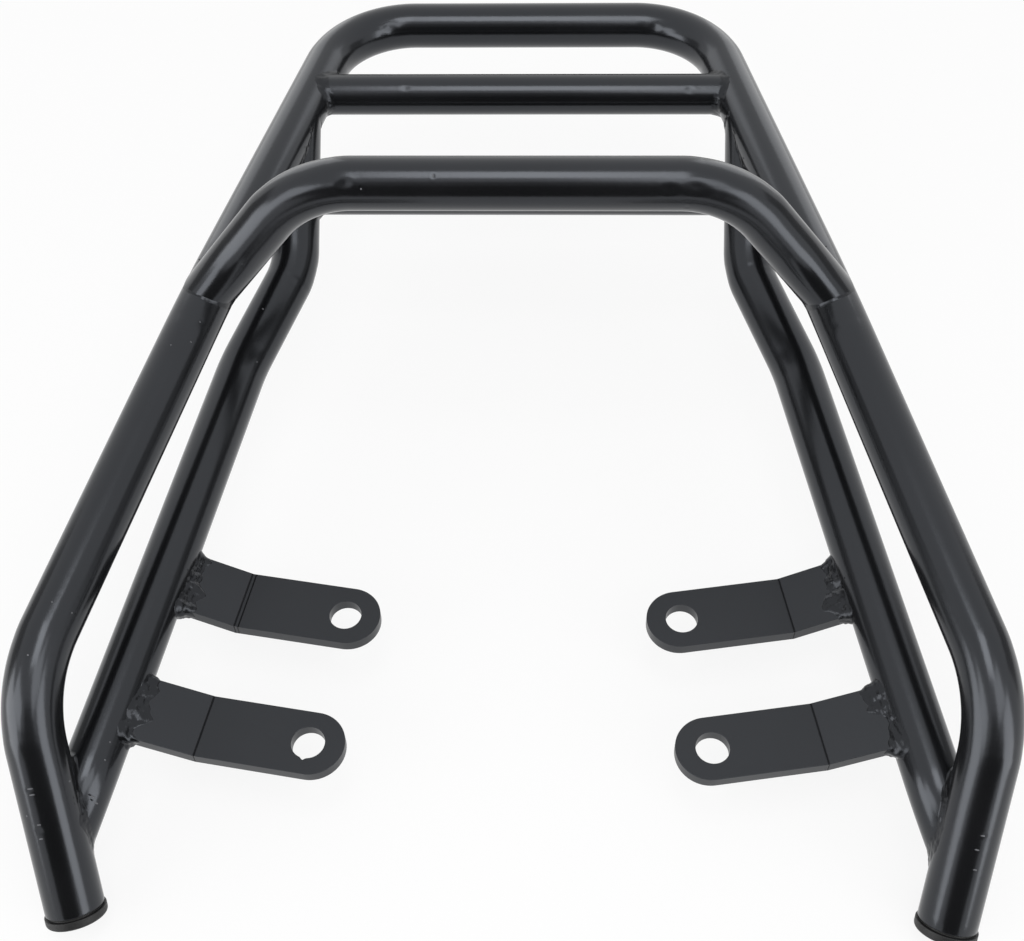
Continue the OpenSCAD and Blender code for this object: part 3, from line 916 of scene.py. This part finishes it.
def softened(name, node, width, segments=3):
    """A copy of a solid's mesh with its edges rounded."""
    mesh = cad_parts[node].data.copy()
    work = bmesh.new()
    work.from_mesh(mesh)
    bmesh.ops.remove_doubles(work, verts=work.verts, dist=SAME_POINT)
    bmesh.ops.dissolve_limit(work, angle_limit=FLAT_ANGLE, verts=work.verts, edges=work.edges)
    work.to_mesh(mesh)
    work.free()
    mesh.name = name
    obj = bpy.data.objects.new(name, mesh)
    bpy.context.scene.collection.objects.link(obj)
    bevel = obj.modifiers.new("edges", "BEVEL")
    bevel.width = width * MM
    bevel.segments = segments
    bevel.limit_method = "ANGLE"
    bevel.angle_limit = EDGE_ANGLE
    bevel.use_clamp_overlap = True
    bevel.harden_normals = True
    even = obj.modifiers.new("normals", "WEIGHTED_NORMAL")
    even.keep_sharp = True
    mesh.polygons.foreach_set("use_smooth", [True] * len(mesh.polygons))
    return obj


def applied(obj):
    """The object with its modifiers worked into its mesh."""
    view = bpy.context.evaluated_depsgraph_get()
    mesh = bpy.data.meshes.new_from_object(obj.evaluated_get(view))
    obj.modifiers.clear()
    obj.data = mesh
    return obj


# Rounding of the bar's corners, where the bead follows it, and the steps of each corner
TAB_CORNER, CORNER_STEPS = 1.2, 5
# The heights over a tab's root between which its seam is looked for, and the steps between
SEAM_FROM, SEAM_TO, SEAM_STEPS = 45, -8, 500
TAB_LOOK, TAB_SPOTS = (6.4, 3.2, 0.34, 0.75, 0.75, 0.3), (3.0, 12)
# How far the second fold line lies behind the first: on the left rear tab, and out of sight elsewhere
SECOND_LINE, FAR_AWAY = 1.7, 500.0
tabs = {
    "front": (FRONT_HOLE, FRONT_TAB_FLAT, FRONT_ROOT_LIFT),
    "rear": (REAR_HOLE, REAR_TAB_FLAT, 0.0),
}


def resampled(loop, far, even):
    """A closed line's points, read off at other distances along it."""
    closed = np.append(loop, loop[:1], axis=0)
    return np.column_stack([np.interp(even, far, closed[:, k]) for k in range(3)])


def tab_seam(bend, root, stay):
    """The closed line where a tab meets its stay, the bar's outward directions, and a way along the bar."""
    along = unit(bend - root)
    across = unit(np.cross(vec(0, 0, 1), along))
    up = np.cross(along, across)
    offsets, normals = [], []
    for cx, cy, first in ((1, 1, 0), (-1, 1, 90), (-1, -1, 180), (1, -1, 270)):
        for k in range(CORNER_STEPS + 1):
            a = math.radians(first + 90 / CORNER_STEPS * k)
            normal = math.cos(a) * across + math.sin(a) * up
            middle = cx * (TAB_W / 2 - TAB_CORNER) * across + cy * (TAB_T / 2 - TAB_CORNER) * up
            offsets.append(middle + TAB_CORNER * normal)
            normals.append(normal)
    offsets, normals = np.array(offsets), np.array(normals)
    far, total = cumulative(offsets)
    even = np.linspace(0, total, int(total / BEAD_STEP), endpoint=False)
    far = np.append(far, total)
    offsets, normals = resampled(offsets, far, even), resampled(normals, far, even)
    normals /= np.linalg.norm(normals, axis=1)[:, None]
    steps = np.linspace(SEAM_FROM, SEAM_TO, SEAM_STEPS)
    grid = root + offsets + steps[:, None, None] * along
    flat = grid.reshape(-1, 3)
    gap = (np.linalg.norm(flat - stay.near(flat)[0], axis=1) - TUBE_R).reshape(grid.shape[:2])
    hit = np.where((gap < 0).any(axis=0), (gap < 0).argmax(axis=0), np.abs(gap).argmin(axis=0))
    seam = root + offsets + steps[hit][:, None] * along
    return seam, normals, lambda w: seam + w[:, None] * along


def keep_distance(obj, name, start, way):
    """Stores how far each vertex lies from a plane, in millimetres, for the material to read."""
    store = obj.data.attributes.new(name, "FLOAT", "POINT")
    values = [float((np.array(v.co) / MM - start) @ way) for v in obj.data.vertices]
    store.data.foreach_set("value", values)


HOLE_R = 7.5
# The notch in one hole: the way to it from the hole's middle, its radius and its depth
NICK_AT, NICK_R, NICK_DEPTH = vec(-0.2, -0.98, 0), 1.4, 1.1


def nick(obj, hole):
    """A small notch filed into the near edge of a tab's hole."""
    place = vec(hole[0], hole[1], 0) + HOLE_R * NICK_AT
    for v in obj.data.vertices:
        x, y, _ = v.co / MM
        gap = math.hypot(x - place[0], y - place[1])
        if gap < NICK_R:
            v.co += Vector(NICK_AT * NICK_DEPTH * (1 - gap / NICK_R) * MM)


for side, side_name in SIDE_NAMES.items():
    for end_name, (hole, flat, lift) in tabs.items():
        node = f"tab_{side_name}_{end_name}"
        bend, root = tab_frame(side, hole, flat, lift)
        way = unit(vec(side * math.cos(TAB_SWEEP), math.sin(TAB_SWEEP), 0))
        tab = applied(softened(f"tab_plate_{side_name}_{end_name}", node, EDGE_ROUND))
        keep_distance(tab, "bend_mm", bend, way)
        double = SECOND_LINE if (side, end_name) == (LEFT, "rear") else FAR_AWAY
        keep_distance(tab, "second_mm", bend - double * way, way)
        if (side, end_name) == (LEFT, "front"):
            nick(tab, (side * hole[0], hole[1]))
        dress(tab, TAB_COAT, "powder_coat", node)
        seed += 4
        stay = stays[side]
        seam, normals, climb = tab_seam(bend, root, stay)
        points, faces = bead_mesh(seam, normals, climb, stay, TAB_LOOK, seed)
        spatter(points, faces, seam_spots(seam, stay, *TAB_SPOTS))
        bead = mesh_object(f"tab_bead_{side_name}_{end_name}", points, faces)
        dress(bead, WELD_COAT, "coated_weld", f"weld_{node}")


# End plugs

for side, side_name in SIDE_NAMES.items():
    node = f"end_plug_{side_name}"
    plug = applied(softened(f"plug_{side_name}", node, PLUG_EDGE_ROUND, 2))
    dress(plug, PLASTIC, "plug_plastic", node)


# Camera


def make_camera():
    """The camera at the photograph's place, angle and focal length."""
    forward, across, down = camera_axes()
    camera = bpy.data.objects.new("camera", bpy.data.cameras.new("camera"))
    bpy.context.scene.collection.objects.link(camera)
    turn = Matrix((across, -down, -forward)).transposed()
    camera.matrix_world = Matrix.Translation(vec(*CAMERA_PLACE) * MM) @ turn.to_4x4()
    camera.data.sensor_fit = "HORIZONTAL"
    camera.data.sensor_width = SENSOR_MM
    camera.data.lens = FOCAL_PX / PHOTO_W * SENSOR_MM
    camera.data.clip_start, camera.data.clip_end = 0.01, 50
    bpy.context.scene.camera = camera


# Studio

# In metres, and levels at which 1 is white
LIGHT_AIM = Vector((0, 0.13, 0.06))
WORLD_LEVEL = 0.62
FLOOR_HALF, FLOOR_GAP = 12.0, 0.0005
FLOOR_COLOUR, FLOOR_GLOW = (0.82, 0.82, 0.82, 1), 0.85
DARK_LEVEL, DIM_LEVEL, FLAG_LEVEL = 0.05, 0.25, 0.35
FLAG_AZIMUTH, FLAG_HALF_ANGLE, FLAG_FAR = 101, 14, 1.7
FLAG_LOW, FLAG_HIGH = 0.005, 0.9

# The dark that the tubes mirror from behind the camera: y, height over the floor, and half the width
OPENING = [
    (-0.42, 0.002, 0.3),
    (-1.1, 0.004, 0.5),
    (-1.35, 0.03, 0.6),
    (-1.45, 0.2, 0.62),
    (-1.45, 0.45, 0.78),
    (-1.45, 0.65, 1.2),
    (-1.45, 0.95, 1.25),
    (-1.42, 1.1, 0.7),
]
ABOVE_OPENING = [(-1.42, 1.1, 0.6), (-1.3, 1.7, 0.5)]

# Azimuth, elevation, distance, width, height and radiance
PANELS = {
    "top_core": (0, 77, 1.45, 0.55, 0.64, 3.9),
    "top_wing": (33, 53, 1.6, 0.8, 0.62, 2.1),
    "left_box": (-63, 7, 1.5, 1.0, 0.9, 2.9),
    "left_upper": (-50, 33, 1.55, 0.75, 0.5, 2.6),
    "right_box": (49, 15, 1.5, 0.66, 1.35, 2.8),
    "back_left": (-150, 14, 1.7, 0.8, 1.3, 0.9),
    "back_right": (150, 14, 1.7, 0.8, 1.3, 1.0),
}


def panel(name, azimuth, elevation, far, wide, high, radiance):
    """A soft box that faces the rack. Azimuth 0 is on the camera's side and 90 to its right."""
    a, e = math.radians(azimuth), math.radians(elevation)
    way = Vector((math.sin(a) * math.cos(e), -math.cos(a) * math.cos(e), math.sin(e)))
    light = bpy.data.lights.new(name, "AREA")
    light.shape = "RECTANGLE"
    light.size, light.size_y = wide, high
    light.energy = radiance * math.pi * wide * high
    lamp = bpy.data.objects.new(name, light)
    bpy.context.scene.collection.objects.link(lamp)
    lamp.location = LIGHT_AIM + way * far
    lamp.rotation_mode = "QUATERNION"
    lamp.rotation_quaternion = (-way).to_track_quat("-Z", "Y")
    lamp.visible_camera = False


def make_world(level):
    """White all round, where the camera and reflections look, and a plain level where it lights."""
    world = bpy.data.worlds.new("studio")
    bpy.context.scene.world = world
    world.use_nodes = True
    nodes, links = world.node_tree.nodes, world.node_tree.links
    back = nodes["Background"]
    back.inputs["Color"].default_value = (1, 1, 1, 1)
    path = nodes.new("ShaderNodeLightPath")
    seen = path.outputs["Is Camera Ray"]
    for other in ("Is Glossy Ray", "Is Transmission Ray"):
        most = nodes.new("ShaderNodeMath")
        most.operation = "MAXIMUM"
        links.new(seen, most.inputs[0])
        links.new(path.outputs[other], most.inputs[1])
        seen = most.outputs[0]
    strength = nodes.new("ShaderNodeMapRange")
    strength.inputs["To Min"].default_value = level
    strength.inputs["To Max"].default_value = 1.0
    links.new(seen, strength.inputs["Value"])
    links.new(strength.outputs["Result"], back.inputs["Strength"])


def floor_material():
    """Pale floor: its own light for the camera, with the rack's shadow kept on it."""
    m = Shader("floor_look")
    m.bsdf.inputs["Roughness"].default_value = 0.9
    m.bsdf.inputs["Specular IOR Level"].default_value = 0.1
    m.bsdf.inputs["Base Color"].default_value = FLOOR_COLOUR
    glow = m.add("ShaderNodeEmission")
    glow.inputs["Strength"].default_value = 1.0
    path = m.add("ShaderNodeLightPath")
    seen = m.math("MAXIMUM", path.outputs["Is Camera Ray"], path.outputs["Is Glossy Ray"])
    share = m.math("MULTIPLY", seen, FLOOR_GLOW)
    mix = m.add("ShaderNodeMixShader")
    m.links.new(share, mix.inputs["Fac"])
    m.links.new(m.bsdf.outputs["BSDF"], mix.inputs[1])
    m.links.new(glow.outputs["Emission"], mix.inputs[2])
    m.links.new(mix.outputs["Shader"], m.nodes["Material Output"].inputs["Surface"])
    return m.material


def make_floor():
    """Lays the floor just under the rack, and gives its height."""
    low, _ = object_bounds()
    z = low.z - FLOOR_GAP
    corners = [(x * FLOOR_HALF, y * FLOOR_HALF, z) for x, y in ((-1, -1), (1, -1), (1, 1), (-1, 1))]
    floor = mesh_object("floor", corners, [(0, 1, 2, 3)])
    floor.data.materials.append(floor_material())
    floor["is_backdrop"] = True
    return z


def card(name, points, faces, level):
    """A card that only reflections see, with its own even brightness."""
    obj = mesh_object(name, points, faces)
    m = Shader(name + "_look")
    m.bsdf.inputs["Base Color"].default_value = (0.0, 0.0, 0.0, 1)
    m.bsdf.inputs["Roughness"].default_value = 0.9
    m.bsdf.inputs["Specular IOR Level"].default_value = 0.0
    m.bsdf.inputs["Emission Color"].default_value = (1, 1, 1, 1)
    m.bsdf.inputs["Emission Strength"].default_value = level
    obj.data.materials.append(m.material)
    obj.visible_camera = False
    obj.visible_diffuse = False
    obj.visible_shadow = False
    obj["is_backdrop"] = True


def curtain(name, floor_z, profile, level):
    """A card hung from a list of places behind the camera, each as (y, height, half its width)."""
    points = []
    for y, height, half in profile:
        points += [(-half, y, floor_z + height), (half, y, floor_z + height)]
    faces = [(2 * k, 2 * k + 1, 2 * k + 3, 2 * k + 2) for k in range(len(profile) - 1)]
    card(name, points, faces, level)


def flag(name, azimuth, floor_z):
    """A dim upright card to one side of the rack."""
    edges = []
    for a in (azimuth - FLAG_HALF_ANGLE, azimuth, azimuth + FLAG_HALF_ANGLE):
        turn = math.radians(a)
        edges.append((FLAG_FAR * math.sin(turn), LIGHT_AIM.y - FLAG_FAR * math.cos(turn)))
    points = [(x, y, z) for x, y in edges for z in (floor_z + FLAG_LOW, FLAG_HIGH)]
    card(name, points, [(0, 2, 3, 1), (2, 4, 5, 3)], FLAG_LEVEL)


make_camera()
make_world(WORLD_LEVEL)
floor_z = make_floor()
curtain("dark_opening", floor_z, OPENING, DARK_LEVEL)
curtain("dim_opening", floor_z, ABOVE_OPENING, DIM_LEVEL)
flag("left_flag", -FLAG_AZIMUTH, floor_z)
flag("right_flag", FLAG_AZIMUTH, floor_z)
for name, values in PANELS.items():
    panel(name, *values)
bpy.context.scene.view_settings.view_transform = "Standard"
